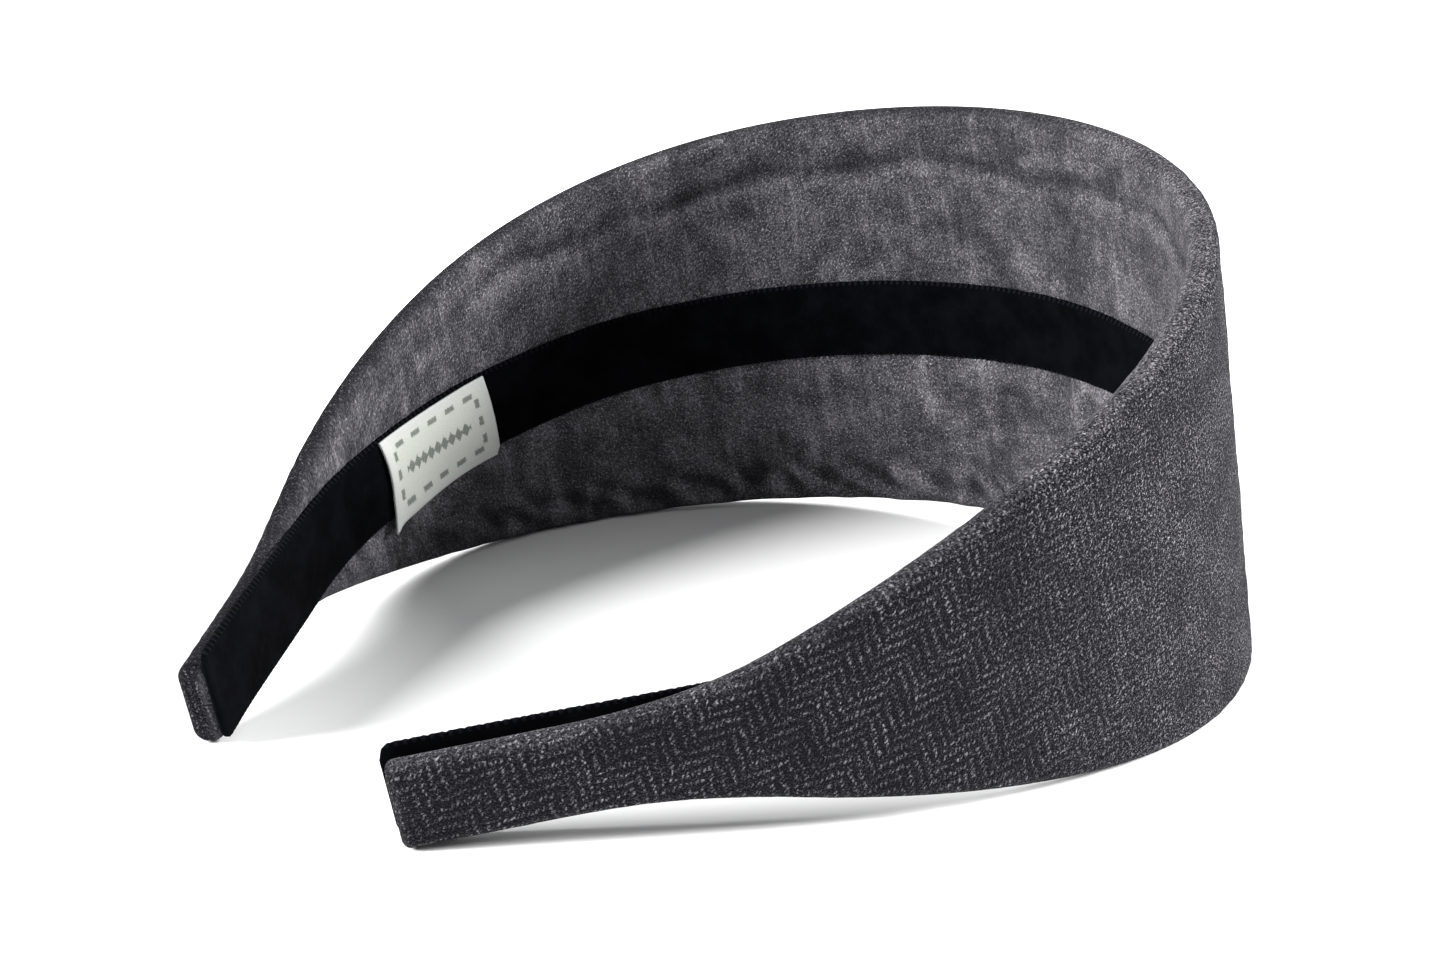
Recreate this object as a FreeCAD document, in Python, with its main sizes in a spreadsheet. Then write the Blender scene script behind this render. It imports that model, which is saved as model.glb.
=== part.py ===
import FreeCAD, Part
import Sketcher
import math
import os

# A wide cloth-covered hair band, lying on its lower edge as it would on a table.
# Its own plan is the XY plane: the crown lies at Y = 0 and the two legs run towards -Y.
# Layers are placed by their offset from the middle surface of the band, minus being inside.

# Names that sketch constraints use.
V_AXIS = -2
ORIGIN = (-1, 1)
START, END, CENTRE = 1, 2, 3

TOLERANCE = 0.01
FULL_HEIGHT = "2 * (Sizes.crown_half_width + Sizes.trim_room)"

# Driving dimensions in millimetres and degrees.
DIMENSIONS = {
    # plan of the middle surface, one half, from the crown to the tip
    "crown_radius": 66.0,
    "crown_angle": 37.0,
    "temple_radius": 58.0,
    "temple_angle": 61.0,
    "leg_radius": 95.0,
    "leg_angle": 30.0,
    "leg_straight": 36.0,
    # side outline: half the width of the band along its depth
    "crown_half_width": 34.4,
    "leg_half_width": 5.6,
    "blend_start": 125.7,
    "blend_radius": 56.0,
    "swell_radius": 397.0,
    # layers, as offsets from the middle surface
    "cover_inner": -2.1,
    "cover_outer": 2.1,
    "core_inner": -1.2,
    "core_outer": 0.2,
    "wadding_outer": 1.2,
    "ribbon_inner": -2.9,
    "label_inner": -3.25,
    "cloth_thickness": 0.9,
    "rim_rounding": 1.8,
    # the gap between the raw edges, filled with glue
    "glue_width": 3.0,
    "glue_cutback": 6.0,
    # half-inch ribbon, its lower edge level with the lower edge of the legs
    "ribbon_width": 12.7,
    "ribbon_cutback": 0.6,
    # woven label, measured along and across the ribbon
    "label_length": 26.0,
    "label_width": 13.3,
    "label_drop": 0.65,
    "label_distance": 112.5,
    # room round the outline for the sketches that trim it
    "trim_room": 12.0,
}

# How the band lies on the table, worked out from the dimensions at the end of the file.
RESTING = ("rest_tilt", "rest_shift", "rest_lift")

doc = FreeCAD.newDocument("headband")


def add_sheet():
    sheet = doc.addObject("Spreadsheet::Sheet", "Sizes")
    for row, (alias, value) in enumerate(DIMENSIONS.items(), start=1):
        sheet.set(f"A{row}", alias)
        sheet.set(f"B{row}", str(value))
        sheet.setAlias(f"B{row}", alias)
    for row, alias in enumerate(RESTING, start=len(DIMENSIONS) + 1):
        sheet.set(f"A{row}", alias)
        sheet.set(f"B{row}", "0")
        sheet.setAlias(f"B{row}", alias)
    doc.recompute()
    return sheet


sheet = add_sheet()


def size(alias):
    return float(sheet.get(alias))


def value_of(expression):
    """Number of a simple expression in the sheet's aliases, such as 'Sizes.core_inner'."""
    if expression.startswith("Sizes."):
        return size(expression.removeprefix("Sizes."))
    return float(expression)


def origin_plane(body, role):
    return next(plane for plane in body.Origin.OriginFeatures if plane.Role == role)


def new_sketch(body, name, role):
    sketch = body.newObject("Sketcher::SketchObject", name)
    sketch.AttachmentSupport = (origin_plane(body, role), [""])
    sketch.MapMode = "FlatFace"
    return sketch


def relate(sketch, kind, *places):
    return sketch.addConstraint(Sketcher.Constraint(kind, *places))


def measure(sketch, kind, places, value, expression):
    """A dimension of the sketch, bound to the sheet."""
    index = sketch.addConstraint(Sketcher.Constraint(kind, *places, value))
    sketch.setExpression(f"Constraints[{index}]", expression)


def half_path(offset, cutback):
    """Three tangent arcs and a straight run at an offset from the middle surface."""
    turns = [(size(f"{name}_radius"), size(f"{name}_angle")) for name in ("crown", "temple", "leg")]
    centre = FreeCAD.Vector(0, -turns[0][0], 0)
    angle = 90.0
    edges = []
    for index, (radius, sweep) in enumerate(turns):
        end_angle = angle - sweep
        circle = Part.Circle(centre, FreeCAD.Vector(0, 0, 1), radius + offset)
        edges.append(Part.ArcOfCircle(circle, math.radians(end_angle), math.radians(angle)))
        angle = end_angle
        outward = FreeCAD.Vector(math.cos(math.radians(angle)), math.sin(math.radians(angle)), 0)
        tip_centre = centre
        if index + 1 < len(turns):
            centre = centre + outward * (radius - turns[index + 1][0])
    start = tip_centre + outward * (turns[-1][0] + offset)
    along = FreeCAD.Vector(outward.y, -outward.x, 0)
    edges.append(Part.LineSegment(start, start + along * (size("leg_straight") - cutback)))
    return edges


def strip_sketch(body, name, inner, outer, cutback):
    """Half of a layer seen in plan, between two offsets; inner, outer and cutback are expressions."""
    sketch = new_sketch(body, name, "XY_Plane")
    inner_offset, outer_offset, short = (value_of(text) for text in (inner, outer, cutback))
    outside = half_path(outer_offset, short)
    inside = half_path(inner_offset, short)
    crown, temple, leg, run = (sketch.addGeometry(edge) for edge in outside)
    crown_in, temple_in, leg_in, run_in = (sketch.addGeometry(edge) for edge in inside)
    crown_line = sketch.addGeometry(Part.LineSegment(outside[0].EndPoint, inside[0].EndPoint))
    tip_line = sketch.addGeometry(Part.LineSegment(outside[-1].EndPoint, inside[-1].EndPoint))

    relate(sketch, "PointOnObject", crown, END, V_AXIS)
    relate(sketch, "PointOnObject", crown, CENTRE, V_AXIS)
    measure(sketch, "DistanceY", (crown, CENTRE, *ORIGIN), size("crown_radius"), "Sizes.crown_radius")
    for arc, turn in ((crown, "crown"), (temple, "temple"), (leg, "leg")):
        measure(sketch, "Radius", (arc,), size(f"{turn}_radius") + outer_offset,
                f"Sizes.{turn}_radius + {outer}")
        measure(sketch, "Angle", (arc,), math.radians(size(f"{turn}_angle")),
                f"Sizes.{turn}_angle * 1 deg")
    relate(sketch, "Tangent", crown, START, temple, END)
    relate(sketch, "Tangent", temple, START, leg, END)
    relate(sketch, "Tangent", leg, START, run, START)
    measure(sketch, "Distance", (run,), size("leg_straight") - short,
            f"Sizes.leg_straight - {cutback}")

    relate(sketch, "PointOnObject", crown_in, END, V_AXIS)
    measure(sketch, "Radius", (crown_in,), size("crown_radius") + inner_offset,
            f"Sizes.crown_radius + {inner}")
    for inner_arc, outer_arc in ((crown_in, crown), (temple_in, temple), (leg_in, leg)):
        relate(sketch, "Coincident", inner_arc, CENTRE, outer_arc, CENTRE)
    relate(sketch, "Tangent", crown_in, START, temple_in, END)
    relate(sketch, "Tangent", temple_in, START, leg_in, END)
    relate(sketch, "Tangent", leg_in, START, run_in, START)
    relate(sketch, "Parallel", run_in, run)

    relate(sketch, "Coincident", crown_line, START, crown, END)
    relate(sketch, "Coincident", crown_line, END, crown_in, END)
    relate(sketch, "Coincident", tip_line, START, run, END)
    relate(sketch, "Coincident", tip_line, END, run_in, END)
    relate(sketch, "Perpendicular", tip_line, run)
    return sketch


def swell_centre(margin):
    """Centre of the arc that passes the crown half width and touches the blend arc."""
    blend = size("blend_radius") + margin
    swell = size("swell_radius") - margin
    low_x, low_y = -size("blend_start"), size("leg_half_width") - margin + blend
    top_x, top_y = 0.0, size("crown_half_width") - margin
    apart_x, apart_y = top_x - low_x, top_y - low_y
    apart = math.hypot(apart_x, apart_y)
    along = (apart**2 + (blend + swell)**2 - swell**2) / (2 * apart)
    across = math.sqrt((blend + swell)**2 - along**2)
    unit_x, unit_y = apart_x / apart, apart_y / apart
    return low_x + along * unit_x + across * unit_y, low_y + along * unit_y - across * unit_x


def trim_sketch(body, name, margin):
    """What lies above the side outline; margin is how far this layer stays inside the cover."""
    sketch = new_sketch(body, name, "YZ_Plane")
    inset = value_of(margin)
    leg = size("leg_half_width") - inset
    blend = size("blend_radius") + inset
    swell = size("swell_radius") - inset
    room = size("trim_room")
    far_y = -size("blend_start") - 3 * room
    top = size("crown_half_width") + room
    blend_centre = FreeCAD.Vector(-size("blend_start"), leg + blend, 0)
    centre = FreeCAD.Vector(*swell_centre(inset), 0)
    slope = math.atan2(centre.x - blend_centre.x, blend_centre.y - centre.y)
    crown_angle = math.acos((room - centre.x) / swell)
    up = FreeCAD.Vector(0, 0, 1)
    quarter = math.pi / 2
    blend_edge = Part.ArcOfCircle(Part.Circle(blend_centre, up, blend), -quarter, slope - quarter)
    swell_edge = Part.ArcOfCircle(Part.Circle(centre, up, swell), crown_angle, slope + quarter)
    leg_end = FreeCAD.Vector(far_y, leg, 0)
    near_corner = FreeCAD.Vector(room, top, 0)
    far_corner = FreeCAD.Vector(far_y, top, 0)
    crown_top = FreeCAD.Vector(0, size("crown_half_width") - inset, 0)
    leg_line = sketch.addGeometry(Part.LineSegment(leg_end, FreeCAD.Vector(-size("blend_start"), leg, 0)))
    blend_arc = sketch.addGeometry(blend_edge)
    swell_arc = sketch.addGeometry(swell_edge)
    near_line = sketch.addGeometry(Part.LineSegment(swell_edge.StartPoint, near_corner))
    top_line = sketch.addGeometry(Part.LineSegment(near_corner, far_corner))
    far_line = sketch.addGeometry(Part.LineSegment(far_corner, leg_end))
    crown_point = sketch.addGeometry(Part.Point(crown_top), True)

    relate(sketch, "Horizontal", leg_line)
    measure(sketch, "DistanceY", (*ORIGIN, leg_line, START), leg, f"Sizes.leg_half_width - {margin}")
    measure(sketch, "DistanceX", (leg_line, END, *ORIGIN), size("blend_start"), "Sizes.blend_start")
    relate(sketch, "Tangent", leg_line, END, blend_arc, START)
    measure(sketch, "Radius", (blend_arc,), blend, f"Sizes.blend_radius + {margin}")
    relate(sketch, "Tangent", blend_arc, END, swell_arc, END)
    measure(sketch, "Radius", (swell_arc,), swell, f"Sizes.swell_radius - {margin}")
    relate(sketch, "PointOnObject", crown_point, START, V_AXIS)
    relate(sketch, "PointOnObject", crown_point, START, swell_arc)
    measure(sketch, "DistanceY", (*ORIGIN, crown_point, START), crown_top.y,
            f"Sizes.crown_half_width - {margin}")
    relate(sketch, "Coincident", near_line, START, swell_arc, START)
    relate(sketch, "Vertical", near_line)
    relate(sketch, "Coincident", top_line, START, near_line, END)
    relate(sketch, "Horizontal", top_line)
    relate(sketch, "Coincident", far_line, START, top_line, END)
    relate(sketch, "Coincident", far_line, END, leg_line, START)
    relate(sketch, "Vertical", far_line)
    measure(sketch, "DistanceX", (*ORIGIN, near_line, END), room, "Sizes.trim_room")
    measure(sketch, "DistanceY", (*ORIGIN, near_line, END), top,
            "Sizes.crown_half_width + Sizes.trim_room")
    measure(sketch, "DistanceX", (far_line, START, *ORIGIN), -far_y,
            "Sizes.blend_start + 3 * Sizes.trim_room")
    return sketch


def mirror(body, name, feature, role):
    """Repeats a feature on the other side of one of the body's planes."""
    mirrored = body.newObject("PartDesign::Mirrored", name)
    mirrored.Originals = [feature]
    mirrored.MirrorPlane = (origin_plane(body, role), [""])
    mirrored.Refine = True
    body.Tip = mirrored
    doc.recompute()
    return mirrored


def place_at_rest(part):
    """Ties the place of a sub-part to the cells that lay the band on the table."""
    part.Placement = FreeCAD.Placement(FreeCAD.Vector(), FreeCAD.Rotation(FreeCAD.Vector(1, 0, 0), 1))
    part.setExpression("Placement.Rotation.Angle", "Sizes.rest_tilt * 1 deg")
    part.setExpression("Placement.Base.y", "Sizes.rest_shift")
    part.setExpression("Placement.Base.z", "Sizes.rest_lift")


def strip_body(name, inner, outer, height, cutback="0", rise="0"):
    """A U-shaped strip of one height between two offsets, rise above the middle of the band."""
    body = doc.addObject("PartDesign::Body", name)
    sketch = strip_sketch(body, f"{name}_plan", inner, outer, cutback)
    sketch.setExpression("AttachmentOffset.Base.z", rise)
    pad = body.newObject("PartDesign::Pad", f"{name}_leg")
    pad.Profile = sketch
    pad.Midplane = True
    pad.setExpression("Length", height)
    doc.recompute()
    mirror(body, f"{name}_legs", pad, "YZ_Plane")
    place_at_rest(body)
    return body


def trim(body, margin):
    """Cuts the strip to the side outline, above and below."""
    name = body.Name
    volumes = [body.Shape.Volume]
    pocket = body.newObject("PartDesign::Pocket", f"{name}_trim")
    pocket.Profile = trim_sketch(body, f"{name}_outline", margin)
    pocket.Type = "ThroughAll"
    pocket.Midplane = True
    pocket.Refine = True
    doc.recompute()
    volumes.append(body.Shape.Volume)
    mirror(body, f"{name}_trims", pocket, "XY_Plane")
    volumes.append(body.Shape.Volume)
    if not volumes[0] > volumes[1] > volumes[2]:
        raise RuntimeError(f"{name}: the outline cut nothing, {volumes}")


def round_rims(body, radius):
    """Rounds the long upper and lower edges, and leaves the seams of the walls and the tips."""
    walls = body.Tip
    across = size("cover_outer") - size("cover_inner")
    long_edges = []
    for index, edge in enumerate(walls.Shape.Edges, start=1):
        box = edge.BoundBox
        upright = box.ZMin < 0 < box.ZMax
        at_tip = edge.Length < across + TOLERANCE and box.ZLength < TOLERANCE
        if not upright and not at_tip:
            long_edges.append(f"Edge{index}")
    fillet = body.newObject("PartDesign::Fillet", f"{body.Name}_rims")
    fillet.Base = (walls, long_edges)
    fillet.setExpression("Radius", radius)
    body.Tip = fillet
    doc.recompute()


def make_core():
    body = strip_body("band_core", "Sizes.core_inner", "Sizes.core_outer", FULL_HEIGHT,
                      cutback="Sizes.cloth_thickness")
    trim(body, "Sizes.cloth_thickness")
    return body


def make_wadding():
    body = strip_body("wadding", "Sizes.core_outer", "Sizes.wadding_outer", FULL_HEIGHT,
                      cutback="Sizes.cloth_thickness")
    trim(body, "Sizes.cloth_thickness")
    return body


def make_glue_line():
    return strip_body("glue_line", "Sizes.cover_inner", "Sizes.core_inner", "Sizes.glue_width",
                      cutback="Sizes.glue_cutback")


def make_cover(fillings):
    """The wrapped cloth: a closed skin round the core and the wadding, open along the glue line."""
    outside = strip_body("cover_outside", "Sizes.cover_inner", "Sizes.cover_outer", FULL_HEIGHT)
    trim(outside, "0")
    round_rims(outside, "Sizes.rim_rounding")
    inside = doc.addObject("Part::MultiFuse", "cover_inside")
    inside.Shapes = fillings
    cover = doc.addObject("Part::Cut", "fabric_cover")
    cover.Base = outside
    cover.Tool = inside
    return cover


def make_ribbon():
    return strip_body("velvet_ribbon", "Sizes.ribbon_inner", "Sizes.cover_inner",
                      "Sizes.ribbon_width", cutback="Sizes.ribbon_cutback",
                      rise="Sizes.ribbon_width / 2 - Sizes.leg_half_width")


def middle_point(distance):
    """Point and outward direction of the middle surface, a distance from the crown, left leg."""
    angle = math.radians(90)
    centre = FreeCAD.Vector(0, -size("crown_radius"), 0)
    radius = size("crown_radius")
    for name in ("crown", "temple", "leg"):
        outward = FreeCAD.Vector(-math.cos(angle), math.sin(angle), 0)
        centre = centre + outward * (radius - size(f"{name}_radius"))
        radius = size(f"{name}_radius")
        sweep = min(distance / radius, math.radians(size(f"{name}_angle")))
        distance -= sweep * radius
        angle -= sweep
    outward = FreeCAD.Vector(-math.cos(angle), math.sin(angle), 0)
    return centre + outward * radius, outward


def make_label():
    """The label is a short length of a thin strip that lies on the ribbon of the left leg."""
    strip = strip_body("label_strip", "Sizes.label_inner", "Sizes.ribbon_inner",
                       "Sizes.label_width", rise="-Sizes.label_drop")
    cutter = doc.addObject("Part::Box", "label_cutter")
    cutter.setExpression("Length", "Sizes.label_length")
    cutter.setExpression("Width", "Sizes.trim_room")
    cutter.setExpression("Height", "2 * Sizes.trim_room")
    middle, outward = middle_point(size("label_distance"))
    corner = FreeCAD.Vector(-size("label_length") / 2, -size("trim_room") / 2, -size("trim_room"))
    turn = FreeCAD.Rotation(FreeCAD.Vector(0, 1, 0), outward)
    on_leg = FreeCAD.Placement(middle, turn) * FreeCAD.Placement(corner, FreeCAD.Rotation())
    cutter.Placement = strip.Placement * on_leg
    label = doc.addObject("Part::Common", "woven_label")
    label.Base = strip
    label.Tool = cutter
    return label, cutter, on_leg


def resting_tilt():
    """Angle of the line that touches a leg's lower corner and the lower swell of the outline."""
    tip, _ = middle_point(size("crown_radius") * math.radians(size("crown_angle"))
                          + size("temple_radius") * math.radians(size("temple_angle"))
                          + size("leg_radius") * math.radians(size("leg_angle")))
    heading = math.radians(size("crown_angle") + size("temple_angle") + size("leg_angle"))
    flat_half = size("cover_outer") - size("rim_rounding")
    corner_y = tip.y - size("leg_straight") * math.sin(heading) + flat_half * math.cos(heading)
    centre_y, centre_z = swell_centre(0)
    away_y = centre_y - corner_y
    away_z = size("leg_half_width") - centre_z
    reach = math.hypot(away_y, away_z)
    return math.degrees(math.asin(size("swell_radius") / reach) - math.atan2(away_z, away_y))


def box_of(parts):
    box = FreeCAD.BoundBox()
    for part in parts:
        box.add(part.Shape.optimalBoundingBox(False, False))
    return box


def lay_on_table(parts, cutter, cutter_on_leg):
    """Tilts the band, then brings the middle of its foot to the origin."""
    sheet.set(sheet.getCellFromAlias("rest_tilt"), str(resting_tilt()))
    doc.recompute()
    cutter.Placement = parts[0].Placement * cutter_on_leg
    doc.recompute()
    box = box_of(parts)
    sheet.set(sheet.getCellFromAlias("rest_shift"), str(-box.Center.y))
    sheet.set(sheet.getCellFromAlias("rest_lift"), str(-box.ZMin))
    doc.recompute()
    cutter.Placement = parts[0].Placement * cutter_on_leg
    doc.recompute()


def check(parts):
    for item in doc.Objects:
        if "Invalid" in item.State or "Error" in item.State:
            raise RuntimeError(f"{item.Name}: {item.State}")
    for part in parts:
        if part.Shape.isNull() or not part.Shape.isValid() or not part.Shape.Solids:
            raise RuntimeError(f"{part.Name}: no valid solid")


def export(parts):
    os.makedirs("parts", exist_ok=True)
    for part in parts:
        part.Shape.exportStep(f"parts/{part.Label}.step")
        print(f"{part.Label}: {len(part.Shape.Solids)} solid, {part.Shape.Volume:.0f} mm3")
    box = box_of(parts)
    print(f"box {box.XLength:.2f} x {box.YLength:.2f} x {box.ZLength:.2f} mm")
    print(f"from {box.XMin:.3f}, {box.YMin:.3f}, {box.ZMin:.3f}")
    print(f"tilt {size('rest_tilt'):.3f}, shift {size('rest_shift'):.3f}, lift {size('rest_lift'):.3f}")


core = make_core()
wadding = make_wadding()
glue_line = make_glue_line()
cover = make_cover([core, wadding, glue_line])
ribbon = make_ribbon()
label, label_cutter, cutter_on_leg = make_label()
doc.recompute()

sub_parts = [core, wadding, glue_line, cover, ribbon, label]
for part in sub_parts:
    part.Label = part.Name
lay_on_table(sub_parts, label_cutter, cutter_on_leg)
check(sub_parts)
export(sub_parts)
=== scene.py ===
import math

import bmesh
import bpy
import numpy as np
from mathutils import Matrix, Vector


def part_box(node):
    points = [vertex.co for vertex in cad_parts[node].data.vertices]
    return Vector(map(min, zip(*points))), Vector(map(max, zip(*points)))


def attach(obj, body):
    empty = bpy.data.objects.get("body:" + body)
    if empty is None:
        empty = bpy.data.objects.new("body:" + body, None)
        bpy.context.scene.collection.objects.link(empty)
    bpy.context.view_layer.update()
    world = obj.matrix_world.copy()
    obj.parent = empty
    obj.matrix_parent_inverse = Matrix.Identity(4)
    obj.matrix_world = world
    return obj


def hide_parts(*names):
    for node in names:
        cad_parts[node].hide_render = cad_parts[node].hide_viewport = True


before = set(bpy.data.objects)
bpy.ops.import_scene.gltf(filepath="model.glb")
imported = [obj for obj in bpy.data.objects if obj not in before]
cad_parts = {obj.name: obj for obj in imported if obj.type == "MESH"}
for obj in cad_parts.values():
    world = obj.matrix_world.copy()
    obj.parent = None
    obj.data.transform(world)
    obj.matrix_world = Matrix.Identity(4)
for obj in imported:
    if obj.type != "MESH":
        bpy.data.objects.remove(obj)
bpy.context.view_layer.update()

MM = 0.001
WELD = 0.000002

# ---------------------------------------------------------------- the band's shape
# s runs along the middle surface from the crown to a tip, minus on the left leg, w runs
# across the band and o outwards from the middle surface. These sizes are in millimetres.
TURNS = ((66.0, 37.0), (58.0, 61.0), (95.0, 30.0))  # radius and degrees, from the crown outwards
LEG_STRAIGHT = 36.0
CROWN_HALF_WIDTH = 34.4
LEG_HALF_WIDTH = 5.6
BLEND_START = 125.7  # how far behind the crown the legs begin to widen
BLEND_RADIUS = 56.0  # of the hollow arc between a leg and the swell
SWELL_RADIUS = 397.0  # of the long arc through the crown
HALF_THICKNESS = 2.1
RIM = 2.0  # radius of the folded edges
CLOTH = 0.8
SLOT = 1.5  # half the gap between the cloth's raw edges
RIBBON_WIDTH = 12.7
RIBBON_THICKNESS = 0.8
BEAD = 1.05  # pitch of the loops along the ribbon's woven edges
LABEL_THICKNESS = 0.35
CLEAR = 0.03  # between layers that lie on each other
LABEL_MIDDLE = -112.5  # on the left leg, counted from the crown
LABEL_LENGTH = 26.0
LABEL_WIDTH = 13.3
LABEL_DROP = 0.65  # below the ribbon's middle

# The solids' own sizes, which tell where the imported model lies: the flat part of a leg's
# lower edge ends at TIP_CORNER, and the glue bar's corners are at the other two.
TIP_CORNER = 0.3
GLUE_OUTER = -1.2
GLUE_HALF_WIDTH = 1.5

HALF_LENGTH = sum(radius * math.radians(turn) for radius, turn in TURNS) + LEG_STRAIGHT


def swell_centre():
    """Centre of the arc through the crown's half width that touches the blend arc."""
    low = Vector((-BLEND_START, LEG_HALF_WIDTH + BLEND_RADIUS))
    top = Vector((0, CROWN_HALF_WIDTH))
    apart = top - low
    reach = BLEND_RADIUS + SWELL_RADIUS
    along = (apart.length_squared + reach**2 - SWELL_RADIUS**2) / (2 * apart.length)
    across = math.sqrt(reach**2 - along**2)
    unit = apart.normalized()
    return low + unit * along + Vector((unit.y, -unit.x)) * across


SWELL_Y, SWELL_W = swell_centre()


def middle(s):
    """x, y, the outward x and y, and the turn so far, of the middle surface at distances s."""
    left = np.abs(s)
    x, y, turned = np.zeros_like(left), np.zeros_like(left), np.zeros_like(left)
    for radius, degrees in TURNS:
        run = np.minimum(left, radius * math.radians(degrees))
        after = turned + run / radius
        x += radius * (np.sin(after) - np.sin(turned))
        y += radius * (np.cos(after) - np.cos(turned))
        turned = after
        left = left - run
    x += left * np.cos(turned)
    y -= left * np.sin(turned)
    side = np.where(s < 0, -1.0, 1.0)
    return x * side, y, np.sin(turned) * side, np.cos(turned), turned * side


def half_width(s):
    """Half the width of the band at distances s."""
    y = middle(s)[1]
    past = BLEND_START + y
    join = (SWELL_Y + BLEND_START) * BLEND_RADIUS / (BLEND_RADIUS + SWELL_RADIUS)
    blend = LEG_HALF_WIDTH + BLEND_RADIUS - np.sqrt(np.maximum(BLEND_RADIUS**2 - past**2, 0))
    swell = SWELL_W + np.sqrt(SWELL_RADIUS**2 - (y - SWELL_Y) ** 2)
    return np.where(past <= 0, LEG_HALF_WIDTH, np.where(past < join, blend, swell))


def resting_place():
    """The tilt, shift and lift that lay the band on its lower edge, where the CAD model lies."""
    _, tip_y, _, tip_out, _ = (float(value) for value in middle(np.array(HALF_LENGTH)))
    away = Vector((SWELL_Y - tip_y - TIP_CORNER * tip_out, LEG_HALF_WIDTH - SWELL_W))
    tilt = math.asin(SWELL_RADIUS / away.length) - math.atan2(away.y, away.x)
    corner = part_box("glue_line")[1] / MM
    shift = corner.y - GLUE_OUTER * math.cos(tilt) - GLUE_HALF_WIDTH * math.sin(tilt)
    lift = corner.z - GLUE_OUTER * math.sin(tilt) - GLUE_HALF_WIDTH * math.cos(tilt)
    return tilt, shift, lift


TILT, SHIFT, LIFT = resting_place()


def rest(x, y, z):
    """Points of the untilted band, in millimetres, as points of the row frame in metres."""
    turned_y = y * math.cos(TILT) - z * math.sin(TILT) + SHIFT
    turned_z = y * math.sin(TILT) + z * math.cos(TILT) + LIFT
    return np.stack(np.broadcast_arrays(x, turned_y, turned_z), -1) * MM


def on_band(s, w, o):
    x, y, out_x, out_y, _ = middle(s)
    return rest(x + out_x * o, y + out_y * o, w)


# ---------------------------------------------------------------- small tools
def smooth(low, high, value):
    t = np.clip((value - low) / (high - low), 0, 1)
    return t * t * (3 - 2 * t)


def ripple(value, seed, shortest, longest, waves=7):
    """A smooth random line through value, from -1 to 1 or so, with those wavelengths."""
    rng = np.random.default_rng(seed)
    total = np.zeros_like(value)
    for length in np.geomspace(shortest, longest, waves):
        length = length * rng.uniform(0.85, 1.15)
        total = total + np.sin(value * 2 * math.pi / length + rng.uniform(0, 7))
    return total / math.sqrt(waves)


def patchy(a, b, seed, shortest, longest, waves=14):
    """A smooth random surface over a and b, from -1 to 1 or so."""
    rng = np.random.default_rng(seed)
    total = np.zeros(np.broadcast(a, b).shape)
    for length in np.geomspace(shortest, longest, waves):
        turn = rng.uniform(0, 2 * math.pi)
        line = a * math.cos(turn) + b * math.sin(turn)
        total = total + np.sin(line * 2 * math.pi / length + rng.uniform(0, 7))
    return total / math.sqrt(waves)


# What a material may ask of a point: whether it is on the inner side, whether it is on a
# folded rim, and how far it stands proud, in millimetres.
TRAITS = ("inner_side", "rim", "stands_out")
HIDDEN = (1.0, 0.0, 0.0)


def make_piece(name, patches, material):
    """A smooth closed mesh from grids of points that share edges; a patch is (points, uv, traits)."""
    points, faces, uvs, all_traits = [], [], [], []
    start = 0
    for grid, uv, traits in patches:
        rows, columns = grid.shape[:2]
        points.append(grid.reshape(-1, 3))
        uvs.append(uv.reshape(-1, 2))
        all_traits.append([np.broadcast_to(trait, (rows, columns)).reshape(-1) for trait in traits])
        index = np.arange(rows * columns).reshape(rows, columns) + start
        quads = [index[:-1, :-1], index[1:, :-1], index[1:, 1:], index[:-1, 1:]]
        faces.append(np.stack(quads, -1).reshape(-1, 4))
        start += rows * columns
    points, faces, uvs = (np.concatenate(part) for part in (points, faces, uvs))
    mesh = bpy.data.meshes.new(name)
    mesh.from_pydata(points.tolist(), [], faces.tolist())
    layer = mesh.uv_layers.new(name="cloth")
    layer.data.foreach_set("uv", uvs[faces.reshape(-1)].astype(np.float32).reshape(-1))
    for trait, values in zip(TRAITS, np.concatenate(all_traits, 1)):
        attribute = mesh.attributes.new(trait, "FLOAT", "POINT")
        attribute.data.foreach_set("value", values.astype(np.float32))
    solid = bmesh.new()
    solid.from_mesh(mesh)
    bmesh.ops.remove_doubles(solid, verts=solid.verts, dist=WELD)
    bmesh.ops.recalc_face_normals(solid, faces=solid.faces)
    solid.to_mesh(mesh)
    solid.free()
    mesh.shade_smooth()
    mesh.materials.append(material)
    piece = bpy.data.objects.new(name, mesh)
    bpy.context.scene.collection.objects.link(piece)
    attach(piece, "root")
    return piece


def slab(front, back, uv):
    """The patches of a closed slab between two grids of points."""
    patches = [(front, uv, HIDDEN), (back, uv, HIDDEN)]
    for column in (0, -1):
        wall = np.stack([front[:, column], back[:, column]], 1)
        patches.append((wall, np.stack([uv[:, column], uv[:, column]], 1), HIDDEN))
    for row in (0, -1):
        wall = np.stack([front[row], back[row]], 0)
        patches.append((wall, np.stack([uv[row], uv[row]], 0), HIDDEN))
    return patches


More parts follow.
